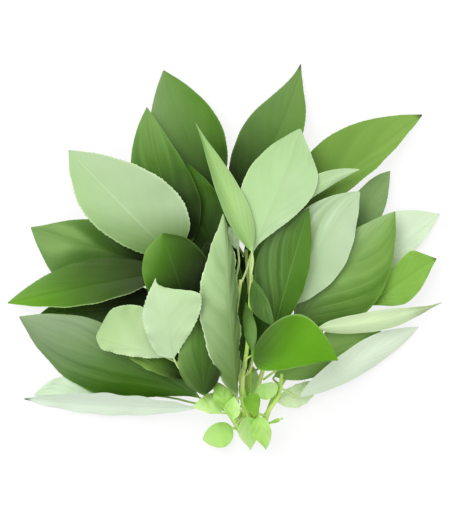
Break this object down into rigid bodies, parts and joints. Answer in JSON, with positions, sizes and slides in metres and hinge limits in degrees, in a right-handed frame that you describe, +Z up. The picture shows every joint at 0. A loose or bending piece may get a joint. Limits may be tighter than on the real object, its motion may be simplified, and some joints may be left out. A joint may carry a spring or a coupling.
{
  "type": "jute leaf",
  "caption": "Cut bunch of fresh jute mallow leaves on slim green stems, fanned out and lying down.",
  "frame": {"origin": "on the table under the middle of the bunch", "axes": "+Z up from the table, -Y towards the cut stem ends, +Y towards the leaf tips"},
  "size_m": [0.331, 0.295, 0.0705],
  "materials": {
    "leaf_upper": "satin",
    "leaf_bright": "satin",
    "leaf_young": "satin",
    "leaf_under": "matte",
    "shoot": "satin",
    "stem": "satin"
  },
  "bodies": {
    "root": {"stem_left_outer": "stem", "stem_left_inner": "stem", "stem_back": "stem", "stem_right_outer": "stem", "stem_left_low": "stem", "stem_bud": "stem", "stem_right_inner": "stem", "stem_left_top": "stem", "stem_front": "stem", "stem_right_low": "stem", "leaf_top_right": "leaf_upper", "leaf_top_left": "leaf_upper", "leaf_behind_crown": "leaf_upper", "leaf_upper_left": "leaf_upper", "leaf_left": "leaf_upper", "leaf_bright_left": "leaf_bright", "leaf_pale_left": "leaf_under", "leaf_shadow_left": "leaf_upper", "leaf_inner_left": "leaf_upper", "leaf_shadow_centre": "leaf_upper", "leaf_shadow_slot": "leaf_upper", "leaf_back_left": "leaf_upper", "leaf_back_centre": "leaf_upper", "leaf_lower_left": "leaf_upper", "leaf_olive_left": "leaf_upper", "leaf_pale_curled": "leaf_under", "leaf_pale_upright": "leaf_under", "leaf_dark_inner": "leaf_upper", "leaf_floor_far_left": "leaf_under", "leaf_floor_left": "leaf_under", "leaf_front_long": "leaf_under", "leaf_crown_narrow": "leaf_young", "leaf_crown_broad": "leaf_under", "leaf_crown_right": "leaf_under", "leaf_upper_right": "leaf_upper", "leaf_small_right": "leaf_upper", "leaf_far_right": "leaf_under", "leaf_bright_right": "leaf_bright", "leaf_broad_right": "leaf_upper", "leaf_pale_right": "leaf_under", "leaf_striped_right": "leaf_upper", "leaf_thin_right": "leaf_under", "leaf_shadow_right": "leaf_upper", "leaf_floor_right": "leaf_under", "leaf_floor_inner_right": "leaf_under", "leaf_bright_front": "leaf_bright", "leaf_slim_centre": "leaf_upper", "leaf_slim_folded": "leaf_upper", "bud_leaf_centre": "leaf_under", "leaflet_bottom_left": "shoot", "leaflet_cut_left": "shoot", "leaflet_cut_right": "shoot", "leaflet_cut_side": "shoot", "leaflet_kite": "shoot", "leaflet_dark": "leaf_bright", "leaflet_round": "shoot", "leaflet_wedge": "shoot", "leaflet_wedge_inner": "shoot", "leaflet_table_left": "shoot", "leaflet_table_centre": "shoot"}
  },
  "joints": []
}
